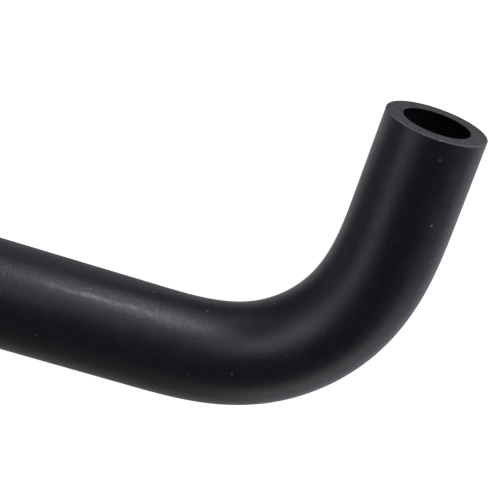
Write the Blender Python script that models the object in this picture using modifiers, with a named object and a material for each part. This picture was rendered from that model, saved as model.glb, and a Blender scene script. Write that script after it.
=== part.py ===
"""Power steering hose, a moulded rubber elbow with a long and a short straight arm.

Metres, +Z up. The hose lies flat on z = 0 with its centreline in one level plane. The long arm
runs along X, and the bend turns off it towards +Y. The origin is at the middle of the base of the
hose's bounding box.
"""
from math import ceil, cos, radians, sin

import bpy
from mathutils import Vector

# Section of the hose
OUTER_DIAMETER = 0.0243
BORE_DIAMETER = 0.0160
RIM_ROUNDING = 0.0003

# Centreline. The bend tightens evenly, holds its radius and opens evenly again
LONG_ARM = 0.120
SHORT_ARM = 0.0210
BEND_RADIUS = 0.0324
TIGHTENING_TURN = radians(24.0)
STEADY_TURN = radians(45.0)
OPENING_TURN = radians(25.0)

# Fineness of the round shapes
SIDES = 48
RING_SPACING = 0.0031
STEPS_PER_RING = 16
ROUNDING_SEGMENTS = 2
SHARP_ANGLE = radians(30.0)

# Black rubber
RUBBER_COLOUR = (0.012, 0.012, 0.013, 1.0)
RUBBER_ROUGHNESS = 0.5

WALL = (OUTER_DIAMETER - BORE_DIAMETER) / 2

# While the curvature rises or falls evenly, its mean is half of the tightest curvature
TIGHTENING_LENGTH = 2 * TIGHTENING_TURN * BEND_RADIUS
STEADY_LENGTH = STEADY_TURN * BEND_RADIUS
OPENING_LENGTH = 2 * OPENING_TURN * BEND_RADIUS
BEND_LENGTH = TIGHTENING_LENGTH + STEADY_LENGTH + OPENING_LENGTH


def clear_scene():
    for old in list(bpy.data.objects):
        bpy.data.objects.remove(old, do_unlink=True)


def curvature(distance):
    """Curvature of the centreline at a distance into the bend."""
    rising = distance / TIGHTENING_LENGTH
    falling = (BEND_LENGTH - distance) / OPENING_LENGTH
    return min(rising, 1.0, falling) / BEND_RADIUS


def centreline():
    """Points of the centreline: the long arm's end, the rings of the bend and the short arm's end."""
    rings = ceil(BEND_LENGTH / RING_SPACING)
    step = BEND_LENGTH / (rings * STEPS_PER_RING)
    place = Vector((0.0, 0.0, 0.0))
    heading = 0.0
    points = [Vector((-LONG_ARM, 0.0, 0.0)), place.copy()]
    for ring in range(rings):
        for part in range(STEPS_PER_RING):
            middle = (ring * STEPS_PER_RING + part + 0.5) * step
            half_turn = curvature(middle) * step / 2
            heading += half_turn
            place += step * Vector((cos(heading), sin(heading), 0.0))
            heading += half_turn
        points.append(place.copy())
    points.append(place + SHORT_ARM * Vector((cos(heading), sin(heading), 0.0)))
    return points


def rubber():
    material = bpy.data.materials.new("black_rubber")
    material.use_nodes = True
    shader = material.node_tree.nodes["Principled BSDF"]
    shader.inputs["Base Color"].default_value = RUBBER_COLOUR
    shader.inputs["Roughness"].default_value = RUBBER_ROUGHNESS
    shader.inputs["Metallic"].default_value = 0.0
    material.diffuse_color = RUBBER_COLOUR
    return material


def outer_wall(collection):
    """The hose's outer surface, a round section swept along the centreline and open at both ends."""
    curve = bpy.data.curves.new("outer_wall", "CURVE")
    curve.dimensions = "3D"
    curve.bevel_depth = OUTER_DIAMETER / 2
    curve.bevel_resolution = SIDES // 2 - 2
    curve.use_fill_caps = False
    points = centreline()
    spline = curve.splines.new("POLY")
    spline.points.add(len(points) - 1)
    for knot, place in zip(spline.points, points):
        knot.co = (*place, 1.0)
    wall = bpy.data.objects.new("outer_wall", curve)
    collection.objects.link(wall)
    return wall


def add_thickness(wall):
    """Thicken the outer surface inwards, which leaves the bore open from end to end."""
    thicken = wall.modifiers.new("wall thickness", "SOLIDIFY")
    thicken.thickness = WALL
    thicken.offset = -1.0
    thicken.use_even_offset = True
    thicken.use_rim = True


def as_mesh(name, source):
    """Replace a curve object with a mesh object of its evaluated shape."""
    depsgraph = bpy.context.evaluated_depsgraph_get()
    mesh = bpy.data.meshes.new_from_object(source.evaluated_get(depsgraph))
    mesh.name = name
    solid = bpy.data.objects.new(name, mesh)
    solid.matrix_world = source.matrix_world
    for collection in source.users_collection:
        collection.objects.link(solid)
    bpy.data.objects.remove(source, do_unlink=True)
    return solid


def round_rims(solid):
    """Break the edges of the square-cut ends."""
    rounding = solid.modifiers.new("cut end rounding", "BEVEL")
    rounding.width = RIM_ROUNDING
    rounding.segments = ROUNDING_SEGMENTS
    rounding.limit_method = "ANGLE"
    rounding.angle_limit = SHARP_ANGLE
    rounding.harden_normals = True


def rest_on_base(solid):
    """Put the origin at the middle of the base of the hose's bounding box."""
    depsgraph = bpy.context.evaluated_depsgraph_get()
    corners = solid.evaluated_get(depsgraph).bound_box
    low = [min(corner[axis] for corner in corners) for axis in range(3)]
    high = [max(corner[axis] for corner in corners) for axis in range(3)]
    solid.location = (-(low[0] + high[0]) / 2, -(low[1] + high[1]) / 2, -low[2])


def build_hose():
    collection = bpy.data.collections.new("power_steering_hose")
    bpy.context.scene.collection.children.link(collection)
    wall = outer_wall(collection)
    add_thickness(wall)
    hose = as_mesh("hose", wall)
    hose.data.shade_smooth()
    hose.data.set_sharp_from_angle(angle=SHARP_ANGLE)
    hose.data.materials.clear()
    hose.data.materials.append(rubber())
    round_rims(hose)
    rest_on_base(hose)
    return hose


clear_scene()
build_hose()
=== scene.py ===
"""Looks of the power steering hose: its rubber surface, cut ends, floor, light and camera."""
from math import cos, pi, radians, sin, tan
from typing import NamedTuple

import bpy
import numpy as np
from mathutils import Matrix, Vector, noise


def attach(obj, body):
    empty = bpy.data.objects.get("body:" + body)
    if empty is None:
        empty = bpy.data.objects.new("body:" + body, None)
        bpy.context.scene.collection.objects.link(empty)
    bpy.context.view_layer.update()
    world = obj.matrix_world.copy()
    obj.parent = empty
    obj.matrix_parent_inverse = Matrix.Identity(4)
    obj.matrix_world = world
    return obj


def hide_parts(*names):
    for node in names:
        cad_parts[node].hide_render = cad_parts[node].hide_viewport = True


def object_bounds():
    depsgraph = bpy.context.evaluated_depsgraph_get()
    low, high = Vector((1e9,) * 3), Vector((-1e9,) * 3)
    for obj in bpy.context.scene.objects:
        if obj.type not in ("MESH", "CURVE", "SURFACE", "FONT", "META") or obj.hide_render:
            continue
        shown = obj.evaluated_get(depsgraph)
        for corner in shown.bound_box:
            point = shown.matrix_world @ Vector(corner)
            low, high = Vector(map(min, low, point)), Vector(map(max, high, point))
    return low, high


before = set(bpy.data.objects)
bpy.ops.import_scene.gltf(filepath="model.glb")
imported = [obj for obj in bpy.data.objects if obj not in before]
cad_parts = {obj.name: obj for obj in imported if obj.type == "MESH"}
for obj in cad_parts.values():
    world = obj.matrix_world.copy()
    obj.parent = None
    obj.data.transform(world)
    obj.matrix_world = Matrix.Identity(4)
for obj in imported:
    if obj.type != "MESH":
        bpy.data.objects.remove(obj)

cad_low, cad_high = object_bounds()
MM = 0.001


# Kinds of settings

class Grain(NamedTuple):
    """Noise on a surface: the size of its features, its number of finer layers and their strength."""
    size: float
    detail: float
    roughness: float = 0.5


class RubHighlight(NamedTuple):
    """A stripe along the long arm, painted lighter where the lamps' highlight falls: part rub mark, part
    painted highlight.

    Its middle lies aside of RUB_HIGHLIGHT_ANGLE, and it fades out between two distances from there, all in
    degrees around the hose. Along the hose it has a middle past the start of the bend and a reach to each
    side, in mm. Its strength follows patches of noise: a span of their values is spread over it.
    """
    aside: float
    fade: tuple
    middle: float
    reach: float
    patches: Grain
    span: tuple
    strength: tuple
    colour: tuple


class Lamp(NamedTuple):
    """A soft rectangular lamp: its direction and half angles as seen from the hose, in degrees."""
    name: str
    azimuth: float
    elevation: float
    half_width: float
    half_height: float
    radiance: float
    colour: tuple


RISING = (0.0, 1.0)
FALLING = (1.0, 0.0)
WHITE = (1, 1, 1, 1)

# Most values of a noise lie between these
NOISE_SPAN = (0.3, 0.7)

# The solid's own sizes: section, arms and bend
OUTER_RADIUS = 12.15 * MM
BORE_RADIUS = 8.0 * MM
LONG_ARM = 120.0 * MM
SHORT_ARM = 21.0 * MM
BEND_RADIUS = 32.4 * MM
TIGHTENING_TURN = radians(24.0)
STEADY_TURN = radians(45.0)
OPENING_TURN = radians(25.0)
TIGHTENING_LENGTH = 2 * TIGHTENING_TURN * BEND_RADIUS
STEADY_LENGTH = STEADY_TURN * BEND_RADIUS
OPENING_LENGTH = 2 * OPENING_TURN * BEND_RADIUS
BEND_LENGTH = TIGHTENING_LENGTH + STEADY_LENGTH + OPENING_LENGTH
HOSE_LENGTH = LONG_ARM + BEND_LENGTH + SHORT_ARM
BEND_START = Vector((cad_low.x + LONG_ARM, cad_low.y + OUTER_RADIUS, cad_low.z + OUTER_RADIUS))

# Fineness of the modelled surface
SIDES = 176
SKIN_SPACING = 0.65 * MM
BORE_SPACING = 2.5 * MM
FACE_RINGS = 10
ROUNDING_RINGS = 4
LINE_STEP = 0.1 * MM

# Relief of the surface, all of it taken off the rubber
RIM_ROUNDING = 0.14 * MM
BORE_ROUNDING = 0.10 * MM
WAVE_DEPTH = 0.02 * MM
WAVE_LENGTH = 14.0 * MM
CUT_DEPTH = 0.03 * MM
CUT_LENGTH = 2.2 * MM

# Places on the hose are mm past the start of the bend, and degrees around it, where 0 is the inner side
# of the bend and 90 the top. Each ring of the mesh and the surface map start underneath
SEAM_ANGLE = -90.0

# Materials of the mesh, in their order on it
SKIN, CUT, BORE = range(3)

# Skin
SKIN_DARK = (0.0035, 0.0034, 0.0057, 1)
SKIN_LIGHT = (0.0053, 0.0051, 0.0083, 1)
SKIN_TONE = Grain(18.0 * MM, detail=3.0)
SKIN_MOTTLE = Grain(0.9 * MM, detail=5.0, roughness=0.7)
SKIN_FINE = Grain(0.35 * MM, detail=3.0, roughness=0.7)
SKIN_FINE_SHARE = 0.5
SKIN_BUMP = 0.040 * MM
SKIN_ROUGHNESS = (0.345, 0.415)
CLOUDS = Grain(5.0 * MM, detail=3.0)
CLOUD_ROUGHNESS = (-0.03, 0.03)
BLOOM = Grain(1.6 * MM, detail=6.0, roughness=0.75)
BLOOM_SPAN = (0.50, 0.72)
BLOOM_COLOUR = (0.0088, 0.0087, 0.0118, 1)

# Where the long arm's highlight falls, painted lighter as rubbing: a scuffed band, and a thin wavering line
# over it, part rub marks and part painted highlight
RUB_HIGHLIGHT_ANGLE = 41.0
RUB_HIGHLIGHT_WAVER = Grain(7.0 * MM, detail=3.0)
RUB_HIGHLIGHT_WAVER_ANGLES = (-1.6, 1.6)
RUB_HIGHLIGHT_FULL_SHARE = 0.2
RUB_HIGHLIGHT_BAND = RubHighlight(
    aside=-4.5, fade=(4.5, 15.0), middle=-6.0, reach=26.0,
    patches=Grain(0.7 * MM, detail=5.0, roughness=0.75), span=(0.44, 0.64), strength=RISING,
    colour=(0.0322, 0.0330, 0.0300, 1),
)
RUB_HIGHLIGHT_LINE = RubHighlight(
    aside=0.0, fade=(0.44, 3.52), middle=-14.0, reach=18.0,
    patches=Grain(1.1 * MM, detail=5.0, roughness=0.65), span=(0.36, 0.58), strength=(0.12, 1.0),
    colour=(0.101, 0.103, 0.090, 1),
)

# Fine dust all over the skin, whose fade is a share of its spacing, and single specks and smudges: the
# place on the hose of each, and its radius in mm
DUST_COLOUR = (0.105, 0.105, 0.102, 1)
DUST_SPACING = 3.6 * MM
DUST_FADE = (0.012, 0.034)
DUST_STRENGTH = (0.45, 0.0)
DUST_SPECKS = (
    (-29, -2, 0.20), (-17, 32, 0.18), (-2, 9, 0.20), (12, 17, 0.22), (-26, 99, 0.16), (-12, 102, 0.15),
    (10, 95, 0.12), (20, 86, 0.19), (35, 3, 0.18), (33, 103, 0.15), (46, 63, 0.14), (73, 124, 0.18),
    (82, 105, 0.30),
)
SMUDGE_COLOUR = (0.078, 0.078, 0.076, 1)
SMUDGE_SOFTNESS = 0.9
SMUDGES = ((97.5, 87, 0.34), (-26, 42, 0.75))

# Cut faces, with level strokes of the knife
CUT_DARK = (0.0240, 0.0233, 0.0236, 1)
CUT_LIGHT = (0.0400, 0.0389, 0.0392, 1)
CUT_MOTTLE = Grain(0.9 * MM, detail=4.0, roughness=0.6)
CUT_ROUGHNESS = 0.85
CUT_SPECULAR = 0.2
CUT_BUMP = 0.07 * MM
SCUFFS = Grain(1.7 * MM, detail=5.0, roughness=0.7)
SCUFF_SPAN = (0.52, 0.70)
SCUFF_COLOUR = (0.066, 0.0645, 0.063, 1)
STROKES = Grain(0.35 * MM, detail=3.0, roughness=0.6)
STROKE_SCALE = (0.12, 0.12, 1.0)
STROKE_SPAN = (0.45, 0.75)
STROKE_STRENGTH = (0.0, 0.7)
STROKE_COLOUR = (0.072, 0.070, 0.068, 1)
STROKE_RELIEF_SHARE = 0.8

# Pale burr inside the rim of the short end, which comes in between two heights from its middle, so that it
# is painted on the upper side only, where the rim catches the light: burr and painted highlight. Nicks in
# that rim, painted as light spots, nicks and painted glints: the angle of each, and its radius in mm
BURR_AND_HIGHLIGHT_WIDTH = 1.1 * MM
BURR_AND_HIGHLIGHT_LOW = -2.0 * MM
BURR_AND_HIGHLIGHT_HIGH = 5.0 * MM
BURR_AND_HIGHLIGHT_SPAN = (0.3, 0.6)
BURR_AND_HIGHLIGHT_STRENGTH = (0.5, 1.0)
BURR_AND_HIGHLIGHT_COLOUR = (0.090, 0.088, 0.089, 1)
RIM_NICKS_AND_GLINTS = ((62, 0.30), (80, 0.34), (39, 0.26))
NICK_AND_GLINT_COLOUR = (0.16, 0.16, 0.16, 1)

# Bore, lighter and bluish deeper in, a painted sheen, and darker near each mouth, a painted shade: the
# sheen starts and is full at these depths
BORE_DARK = (0.0011, 0.0012, 0.0016, 1)
BORE_SHEEN = (0.0052, 0.0062, 0.0084, 1)
BORE_MOTTLE = Grain(2.2 * MM, detail=4.0)
BORE_ROUGHNESS = 0.9
BORE_SPECULAR = 0.02
BORE_BUMP = 0.03 * MM
SHEEN_START = 0.8 * MM
SHEEN_FULL = 4.5 * MM
SHEEN_STRENGTH = (0.5, 1.0)

# Camera. AIM is the place at the middle of the picture, from the start of the bend
AIM = Vector((15.66, 28.02, 0.0)) * MM
CAMERA_AZIMUTH = radians(127.95)
CAMERA_ELEVATION = radians(63.81)
CAMERA_DISTANCE = 443.3 * MM
CAMERA_ROLL = radians(162.2)
FOCAL_LENGTH = 139.44
SENSOR_WIDTH = 36.0

# Floor. Reflections show its glow rising from one side to the other, dimmed in soft round shades: the
# place of each from the middle of the picture and its radius, in mm, and its depth
FLOOR_SIZE = 8.0
FLOOR_COLOUR = (0.50, 0.50, 0.50, 1)
FLOOR_GLOW = 0.90
FLOOR_REFLECTED = (0.40, 0.84)
FLOOR_REFLECTED_SHARE = 0.8
FLOOR_DIM_END = -40.0 * MM
FLOOR_BRIGHT_END = 45.0 * MM
FLOOR_BRIGHT_SIDE = radians(25.0)
FLOOR_SHADES = (((-1.0, 0.0), 8.5, 0.85), ((-13.0, 15.0), 15.0, 0.85), ((-42.0, 40.0), 26.0, 0.75))
FLOOR_SHADE_SOFTNESS = 0.6

# Room, as it lights the hose, and the background that the camera sees
ROOM_COLOUR = (0.975, 0.945, 1.035, 1)
ROOM_HORIZON = 0.17
ROOM_ZENITH = 0.058
ZENITH_HEIGHT = 0.87
BACKGROUND_GLOW = 1.0

# Lamps
LAMP_DISTANCE = 0.9
LAMP_COLOUR = (0.975, 0.955, 1.065)
BACK_LAMP_COLOUR = (1.06, 0.97, 1.02)
LAMPS = (
    Lamp("side_lamp", 46, 13, half_width=31, half_height=12.5, radiance=7.8, colour=LAMP_COLOUR),
    Lamp("front_lamp", 122, 49, half_width=24, half_height=14, radiance=1.8, colour=LAMP_COLOUR),
    Lamp("left_lamp", 175, 30, half_width=45, half_height=15.5, radiance=1.06, colour=LAMP_COLOUR),
    Lamp("back_lamp", 316, 16, half_width=22, half_height=13, radiance=1.0, colour=BACK_LAMP_COLOUR),
)


def direction(azimuth, elevation):
    """Unit vector at an azimuth from +X and an elevation above the floor, both in radians."""
    level = cos(elevation)
    return Vector((cos(azimuth) * level, sin(azimuth) * level, sin(elevation)))


def put_in_scene(name, data):
    thing = bpy.data.objects.new(name, data)
    bpy.context.scene.collection.objects.link(thing)
    return thing


# The hose's shape

def centreline():
    """Distances along the hose, with the place and heading of its centreline at each of them."""
    steps = round(HOSE_LENGTH / LINE_STEP)
    along = np.linspace(0.0, HOSE_LENGTH, steps + 1)
    into_bend = along - LONG_ARM
    rising = into_bend / TIGHTENING_LENGTH
    falling = (BEND_LENGTH - into_bend) / OPENING_LENGTH
    curvature = np.clip(np.minimum(rising, falling), 0.0, 1.0) / BEND_RADIUS
    step = along[1]

    def summed(rate):
        return np.concatenate([[0.0], np.cumsum((rate[1:] + rate[:-1]) / 2) * step])

    heading = summed(curvature)
    east = BEND_START.x - LONG_ARM + summed(np.cos(heading))
    north = BEND_START.y + summed(np.sin(heading))
    return along, east, north, heading


def on_skin(past_bend, angle):
    """The point on the skin at a place past the start of the bend, in mm, and an angle, in degrees."""
    along, east, north, heading = centreline()
    distance = LONG_ARM + past_bend * MM
    turn = np.interp(distance, along, heading)
    out = OUTER_RADIUS * cos(radians(angle))
    return Vector((
        np.interp(distance, along, east) - out * sin(turn),
        np.interp(distance, along, north) + out * cos(turn),
        BEND_START.z + OUTER_RADIUS * sin(radians(angle)),
    ))


def end_rings():
    """Rings over a cut end, from the skin to the bore, each with its depth, radius and material."""
    quarter = np.linspace(0.0, pi / 2, ROUNDING_RINGS + 1)[1:]
    rings = []
    outer, inner = OUTER_RADIUS - RIM_ROUNDING, BORE_RADIUS + BORE_ROUNDING
    for turn in quarter:
        rings.append((RIM_ROUNDING * (1 - sin(turn)), outer + RIM_ROUNDING * cos(turn), CUT))
    for radius in np.linspace(outer, inner, FACE_RINGS)[1:]:
        rings.append((0.0, radius, CUT))
    for turn in quarter:
        rings.append((BORE_ROUNDING * (1 - cos(turn)), inner - BORE_ROUNDING * sin(turn), BORE))
    return rings


def section_rings():
    """Rings once round the wall: along the skin, over the short end, back in the bore, over the long end.

    Each has its distance along the hose, its radius, and the material of the faces that lead to it.
    """
    over_end = end_rings()
    skin = np.linspace(RIM_ROUNDING, HOSE_LENGTH - RIM_ROUNDING, round(HOSE_LENGTH / SKIN_SPACING))
    bore = np.linspace(HOSE_LENGTH - BORE_ROUNDING, BORE_ROUNDING, round(HOSE_LENGTH / BORE_SPACING))[1:-1]
    rings = [(distance, OUTER_RADIUS, SKIN) for distance in skin]
    rings += [(HOSE_LENGTH - depth, radius, material) for depth, radius, material in over_end]
    rings += [(distance, BORE_RADIUS, BORE) for distance in bore]
    material = BORE
    for depth, radius, next_material in reversed(over_end):
        rings.append((depth, radius, material))
        material = next_material
    return rings


def relief(place, distance, radius):
    """How much rubber is off the wall at a point, and off the cut face there, by its waves and its cuts."""
    wave = WAVE_DEPTH * (0.5 + 0.5 * noise.noise(place / WAVE_LENGTH))
    from_end = min(distance, HOSE_LENGTH - distance)
    on_face = radius < OUTER_RADIUS and from_end < RIM_ROUNDING
    cut = CUT_DEPTH * (0.5 + 0.5 * noise.noise(place / CUT_LENGTH)) if on_face else 0.0
    return wave, cut


def ring_points(rings):
    """The points around each ring, with the relief taken off them."""
    along, east, north, heading = centreline()
    around = np.arange(SIDES) * 2 * pi / SIDES + radians(SEAM_ANGLE)
    up = np.array((0.0, 0.0, 1.0))
    points = []
    for distance, radius, _ in rings:
        turn = np.interp(distance, along, heading)
        middle_east = np.interp(distance, along, east)
        middle_north = np.interp(distance, along, north)
        middle = np.array((middle_east, middle_north, BEND_START.z))
        side = np.array((-np.sin(turn), np.cos(turn), 0.0))
        ahead = np.array((np.cos(turn), np.sin(turn), 0.0))
        back = -ahead if distance > HOSE_LENGTH / 2 else ahead
        inwards = 1.0 if radius > BORE_RADIUS + BORE_ROUNDING else -1.0
        for angle in around:
            out = np.cos(angle) * side + np.sin(angle) * up
            place = middle + radius * out
            wave, cut = relief(Vector(place), distance, radius)
            points.append(tuple(place - inwards * wave * out + cut * back))
    return points


def ring_faces(rings):
    """Faces from each ring to the next, their materials, and their corners on the surface map."""
    faces = []
    materials = []
    corners = []
    for ring, (distance, _, _) in enumerate(rings):
        next_ring = (ring + 1) % len(rings)
        next_distance, _, material = rings[next_ring]
        here, there = ring * SIDES, next_ring * SIDES
        u0, u1 = distance / HOSE_LENGTH, next_distance / HOSE_LENGTH
        for left in range(SIDES):
            right = (left + 1) % SIDES
            v0, v1 = left / SIDES, (left + 1) / SIDES
            faces.append((here + left, here + right, there + right, there + left))
            materials.append(material)
            corners.extend(((u0, v0), (u0, v1), (u1, v1), (u1, v0)))
    return faces, materials, corners


def hose_mesh():
    rings = section_rings()
    faces, materials, corners = ring_faces(rings)
    mesh = bpy.data.meshes.new("hose_rubber")
    mesh.from_pydata(ring_points(rings), [], faces)
    mesh.polygons.foreach_set("material_index", materials)
    surface_map = mesh.uv_layers.new(name="along_and_around")
    surface_map.data.foreach_set("uv", [value for corner in corners for value in corner])
    mesh.shade_smooth()
    mesh.update()
    return mesh


# Materials

class Nodes:
    """Builds one node tree, a node at a time. Inputs go by their name or number on the node."""

    def __init__(self, tree):
        self.tree = tree

    def add(self, kind, inputs=(), **settings):
        node = self.tree.nodes.new("ShaderNode" + kind)
        for name, value in settings.items():
            setattr(node, name, value)
        for name, value in dict(inputs).items():
            self.feed(node.inputs[name], value)
        return node

    def feed(self, socket, value):
        if isinstance(value, bpy.types.NodeSocket):
            self.tree.links.new(value, socket)
        else:
            socket.default_value = value

    def math(self, operation, first, second=0.0):
        return self.add("Math", {0: first, 1: second}, operation=operation).outputs[0]

    def product(self, first, *others):
        for other in others:
            first = self.math("MULTIPLY", first, other)
        return first

    def distance(self, place, centre):
        return self.add("VectorMath", {0: place, 1: centre}, operation="DISTANCE").outputs["Value"]

    def place(self):
        return self.add("TexCoord").outputs["Object"]

    def surface(self):
        """Places on the surface map: X along the hose and Y around it, both from 0 to 1."""
        return self.add("SeparateXYZ", {"Vector": self.add("TexCoord").outputs["UV"]}).outputs

    def noise(self, grain, place=None):
        place = place or self.place()
        values = {"Vector": place, "Scale": 1 / grain.size}
        values.update({"Detail": grain.detail, "Roughness": grain.roughness})
        return self.add("TexNoise", values).outputs["Fac"]

    def spread(self, value, span, to=RISING, **settings):
        """Turns a span of values into another one, and holds what is past its ends."""
        values = {"Value": value, "From Min": span[0], "From Max": span[1]}
        values.update({"To Min": to[0], "To Max": to[1]})
        return self.add("MapRange", values, **settings).outputs["Result"]

    def blend(self, factor, first, second):
        """From the first colour at 0 to the second at 1. The Mix node's inputs 6 and 7 are colours."""
        return self.add("Mix", {0: factor, 6: first, 7: second}, data_type="RGBA").outputs[2]

    def blend_numbers(self, factor, first, second):
        """From the first number at 0 to the second at 1. The Mix node's inputs 2 and 3 are numbers."""
        return self.add("Mix", {0: factor, 2: first, 3: second}, data_type="FLOAT").outputs[0]

    def bump(self, height, distance):
        return self.add("Bump", {"Height": height, "Distance": distance}).outputs["Normal"]


def empty_nodes(owner):
    """Turns a material's or a world's nodes on, and empties them."""
    owner.use_nodes = True
    owner.node_tree.nodes.clear()
    return Nodes(owner.node_tree)


def rubber(name):
    material = bpy.data.materials.new(name)
    material.use_nodes = True
    shader = material.node_tree.nodes["Principled BSDF"]
    return material, Nodes(material.node_tree), shader


def spot(nodes, place, centre, radius, softness=0.5):
    """1 within a radius of a centre, falling softly to 0 outside it."""
    edge = (radius * (1 - softness), radius * (1 + softness))
    return nodes.spread(nodes.distance(place, centre), edge, FALLING)


def rub_highlight_strength(nodes, surface, past_line, rub):
    """How strongly a stripe is painted lighter, rub mark and painted highlight, where past_line is the
    angle past the stripe's line, in degrees.
    """
    from_middle = nodes.math("ABSOLUTE", nodes.math("SUBTRACT", past_line, rub.aside))
    around = nodes.spread(from_middle, rub.fade, FALLING)
    middle = (LONG_ARM + rub.middle * MM) / HOSE_LENGTH
    reach = rub.reach * MM / HOSE_LENGTH
    away = nodes.math("ABSOLUTE", nodes.math("SUBTRACT", surface["X"], middle))
    along = nodes.spread(away, (RUB_HIGHLIGHT_FULL_SHARE * reach, reach), FALLING)
    patches = nodes.spread(nodes.noise(rub.patches), rub.span, rub.strength)
    return nodes.product(around, along, patches)


# Lightens the skin along the long arm's highlight: rub marks and painted highlight
def rubbed_and_highlit(nodes, colour):
    surface = nodes.surface()
    waver = nodes.spread(nodes.noise(RUB_HIGHLIGHT_WAVER), NOISE_SPAN, RUB_HIGHLIGHT_WAVER_ANGLES)
    angle = nodes.math("ADD", nodes.math("MULTIPLY", surface["Y"], 360.0), SEAM_ANGLE)
    past_line = nodes.math("SUBTRACT", nodes.math("ADD", angle, waver), RUB_HIGHLIGHT_ANGLE)
    for rub in (RUB_HIGHLIGHT_BAND, RUB_HIGHLIGHT_LINE):
        colour = nodes.blend(rub_highlight_strength(nodes, surface, past_line, rub), colour, rub.colour)
    return colour


def dusted(nodes, colour, mottle):
    place = nodes.place()
    cells = nodes.add("TexVoronoi", {"Vector": place, "Scale": 1 / DUST_SPACING})
    dust = nodes.spread(cells.outputs["Distance"], DUST_FADE, DUST_STRENGTH)
    for past_bend, angle, radius in DUST_SPECKS:
        speck = spot(nodes, place, on_skin(past_bend, angle), radius * MM)
        dust = nodes.math("MAXIMUM", dust, speck)
    colour = nodes.blend(dust, colour, DUST_COLOUR)
    for past_bend, angle, radius in SMUDGES:
        smudge = spot(nodes, place, on_skin(past_bend, angle), radius * MM, SMUDGE_SOFTNESS)
        colour = nodes.blend(nodes.product(smudge, mottle), colour, SMUDGE_COLOUR)
    return colour


def skin_material():
    material, nodes, shader = rubber("rubber_skin")
    mottle = nodes.noise(SKIN_MOTTLE)
    colour = nodes.blend(nodes.noise(SKIN_TONE), SKIN_DARK, SKIN_LIGHT)
    bloom = nodes.spread(nodes.noise(BLOOM), BLOOM_SPAN)
    colour = nodes.blend(bloom, colour, BLOOM_COLOUR)
    colour = rubbed_and_highlit(nodes, colour)
    colour = dusted(nodes, colour, mottle)
    nodes.feed(shader.inputs["Base Color"], colour)
    clouds = nodes.spread(nodes.noise(CLOUDS), NOISE_SPAN, CLOUD_ROUGHNESS)
    roughness = nodes.math("ADD", nodes.spread(mottle, NOISE_SPAN, SKIN_ROUGHNESS), clouds)
    nodes.feed(shader.inputs["Roughness"], roughness)
    height = nodes.math("ADD", mottle, nodes.product(nodes.noise(SKIN_FINE), SKIN_FINE_SHARE))
    nodes.feed(shader.inputs["Normal"], nodes.bump(height, SKIN_BUMP))
    return material


def burr_nicks_and_highlight(nodes, colour, mottle):
    """The burr and the nicks at the rim of the short end, lighter on its upper side: burr and nicks with
    painted highlight and glints.
    """
    place = nodes.place()
    short_end = (BEND_LENGTH + SHORT_ARM) / MM
    centre = on_skin(short_end, 90) - Vector((0, 0, OUTER_RADIUS))
    from_centre = nodes.distance(place, centre)
    burr_and_highlight = nodes.spread(from_centre, (OUTER_RADIUS - BURR_AND_HIGHLIGHT_WIDTH, OUTER_RADIUS))
    height = nodes.add("SeparateXYZ", {"Vector": place}).outputs["Z"]
    # Painted highlight: the pale rim shows only above a height, on the side that catches the light
    lit_side = nodes.spread(height, (centre.z + BURR_AND_HIGHLIGHT_LOW, centre.z + BURR_AND_HIGHLIGHT_HIGH))
    burr_and_highlight = nodes.product(burr_and_highlight, lit_side, nodes.spread(mottle, BURR_AND_HIGHLIGHT_SPAN, BURR_AND_HIGHLIGHT_STRENGTH))
    colour = nodes.blend(burr_and_highlight, colour, BURR_AND_HIGHLIGHT_COLOUR)
    # Nicks painted as light spots: nicks and painted glints of the rim's highlight
    for angle, radius in RIM_NICKS_AND_GLINTS:
        nick_and_glint = spot(nodes, place, on_skin(short_end, angle), radius * MM)
        colour = nodes.blend(nick_and_glint, colour, NICK_AND_GLINT_COLOUR)
    return colour


def cut_material():
    material, nodes, shader = rubber("rubber_cut")
    mottle = nodes.noise(CUT_MOTTLE)
    stretched = nodes.add("Mapping", {"Vector": nodes.place(), "Scale": STROKE_SCALE}).outputs["Vector"]
    strokes = nodes.noise(STROKES, stretched)
    colour = nodes.blend(mottle, CUT_DARK, CUT_LIGHT)
    scuffs = nodes.spread(nodes.noise(SCUFFS), SCUFF_SPAN)
    colour = nodes.blend(scuffs, colour, SCUFF_COLOUR)
    colour = nodes.blend(nodes.spread(strokes, STROKE_SPAN, STROKE_STRENGTH), colour, STROKE_COLOUR)
    colour = burr_nicks_and_highlight(nodes, colour, mottle)
    nodes.feed(shader.inputs["Base Color"], colour)
    shader.inputs["Roughness"].default_value = CUT_ROUGHNESS
    shader.inputs["Specular IOR Level"].default_value = CUT_SPECULAR
    height = nodes.math("ADD", mottle, nodes.product(strokes, STROKE_RELIEF_SHARE))
    nodes.feed(shader.inputs["Normal"], nodes.bump(height, CUT_BUMP))
    return material


def bore_material():
    material, nodes, shader = rubber("rubber_bore")
    mottle = nodes.noise(BORE_MOTTLE)
    from_middle = nodes.math("ABSOLUTE", nodes.math("SUBTRACT", nodes.surface()["X"], 0.5))
    sheen_span = (0.5 - SHEEN_FULL / HOSE_LENGTH, 0.5 - SHEEN_START / HOSE_LENGTH)
    # Painted sheen deeper in, and painted shade near each mouth, where the bore keeps its dark colour
    deep = nodes.spread(from_middle, sheen_span, FALLING)
    painted_sheen = nodes.product(deep, nodes.spread(mottle, NOISE_SPAN, SHEEN_STRENGTH))
    nodes.feed(shader.inputs["Base Color"], nodes.blend(painted_sheen, BORE_DARK, BORE_SHEEN))
    shader.inputs["Roughness"].default_value = BORE_ROUGHNESS
    shader.inputs["Specular IOR Level"].default_value = BORE_SPECULAR
    nodes.feed(shader.inputs["Normal"], nodes.bump(mottle, BORE_BUMP))
    return material


def make_hose():
    mesh = hose_mesh()
    for material in (skin_material(), cut_material(), bore_material()):
        mesh.materials.append(material)
    hose = put_in_scene("hose_rubber", mesh)
    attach(hose, "root")
    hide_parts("hose")


# Surroundings

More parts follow.
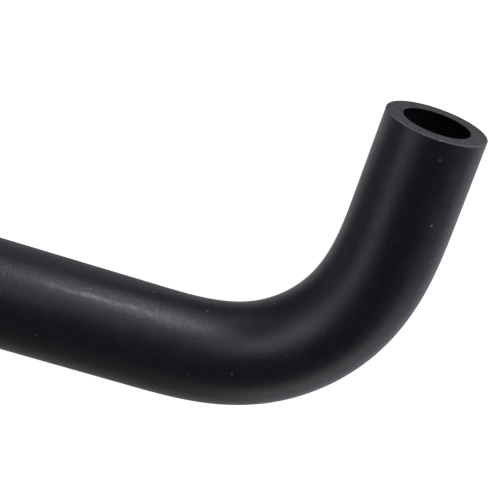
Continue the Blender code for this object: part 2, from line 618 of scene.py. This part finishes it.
def rays(nodes):
    """Rays that show things to the camera, straight or through something clear, and glossy rays."""
    path = nodes.add("LightPath").outputs
    seen = nodes.math("MAXIMUM", path["Is Camera Ray"], path["Is Transmission Ray"])
    return seen, path["Is Glossy Ray"]


def reflected_glow(nodes):
    """How bright the floor is in reflections."""
    place = nodes.place()
    bright_side = direction(FLOOR_BRIGHT_SIDE, 0)
    across = nodes.add("VectorMath", {0: place, 1: bright_side}, operation="DOT_PRODUCT").outputs["Value"]
    span = (FLOOR_DIM_END, FLOOR_BRIGHT_END)
    glow = nodes.spread(across, span, FLOOR_REFLECTED, interpolation_type="SMOOTHSTEP")
    for (east, north), radius, depth in FLOOR_SHADES:
        centre = (east * MM, north * MM, 0.0)
        shade = spot(nodes, place, centre, radius * MM, FLOOR_SHADE_SOFTNESS)
        glow = nodes.product(glow, nodes.spread(shade, RISING, (1.0, 1.0 - depth)))
    return glow


def floor_material():
    material = bpy.data.materials.new("white_floor")
    nodes = empty_nodes(material)
    seen, reflected = rays(nodes)
    plain = nodes.add("BsdfDiffuse", {"Color": FLOOR_COLOUR}).outputs[0]
    glow = nodes.add("Emission", {"Color": WHITE, "Strength": nodes.product(seen, FLOOR_GLOW)}).outputs[0]
    lit = nodes.add("AddShader", {0: plain, 1: glow}).outputs[0]
    mirror_glow = {"Color": ROOM_COLOUR, "Strength": reflected_glow(nodes)}
    mirrored = nodes.add("Emission", mirror_glow).outputs[0]
    share = nodes.product(reflected, FLOOR_REFLECTED_SHARE)
    mixed = nodes.add("MixShader", {0: share, 1: lit, 2: mirrored}).outputs[0]
    nodes.add("OutputMaterial", {"Surface": mixed})
    return material


def make_floor():
    half = FLOOR_SIZE / 2
    corners = [(-half, -half, 0), (half, -half, 0), (half, half, 0), (-half, half, 0)]
    mesh = bpy.data.meshes.new("floor")
    mesh.from_pydata(corners, [], [(0, 1, 2, 3)])
    mesh.materials.append(floor_material())
    floor = put_in_scene("floor", mesh)
    floor.location = (BEND_START.x + AIM.x, BEND_START.y + AIM.y, cad_low.z)


def make_world():
    world = bpy.data.worlds.new("studio")
    bpy.context.scene.world = world
    nodes = empty_nodes(world)
    towards = nodes.add("TexCoord").outputs["Generated"]
    height = nodes.add("SeparateXYZ", {"Vector": towards}).outputs["Z"]
    room = nodes.spread(height, (0.0, ZENITH_HEIGHT), (ROOM_HORIZON, ROOM_ZENITH))
    seen, _ = rays(nodes)
    strength = nodes.blend_numbers(seen, room, BACKGROUND_GLOW)
    colour = nodes.blend(seen, ROOM_COLOUR, WHITE)
    sky = nodes.add("Background", {"Color": colour, "Strength": strength}).outputs[0]
    nodes.add("OutputWorld", {"Surface": sky})


def make_lamp(kind):
    light = bpy.data.lights.new(kind.name, "AREA")
    light.shape = "RECTANGLE"
    light.size = 2 * LAMP_DISTANCE * tan(radians(kind.half_width))
    light.size_y = 2 * LAMP_DISTANCE * tan(radians(kind.half_height))
    light.energy = kind.radiance * pi * light.size * light.size_y
    light.color = kind.colour
    lamp = put_in_scene(kind.name, light)
    towards = direction(radians(kind.azimuth), radians(kind.elevation))
    lamp.location = BEND_START + AIM + LAMP_DISTANCE * towards
    lamp.rotation_euler = towards.to_track_quat("Z", "Y").to_euler()


def make_camera():
    data = bpy.data.cameras.new("camera")
    data.lens = FOCAL_LENGTH
    data.sensor_width = SENSOR_WIDTH
    camera = put_in_scene("camera", data)
    back = direction(CAMERA_AZIMUTH, CAMERA_ELEVATION)
    upright = back.to_track_quat("Z", "Y").to_matrix()
    rolled = upright @ Matrix.Rotation(CAMERA_ROLL, 3, "Z")
    camera.matrix_world = Matrix.Translation(BEND_START + AIM + CAMERA_DISTANCE * back) @ rolled.to_4x4()
    bpy.context.scene.camera = camera


make_camera()
make_hose()
make_floor()
make_world()
for lamp_kind in LAMPS:
    make_lamp(lamp_kind)
bpy.context.scene.view_settings.view_transform = "Standard"
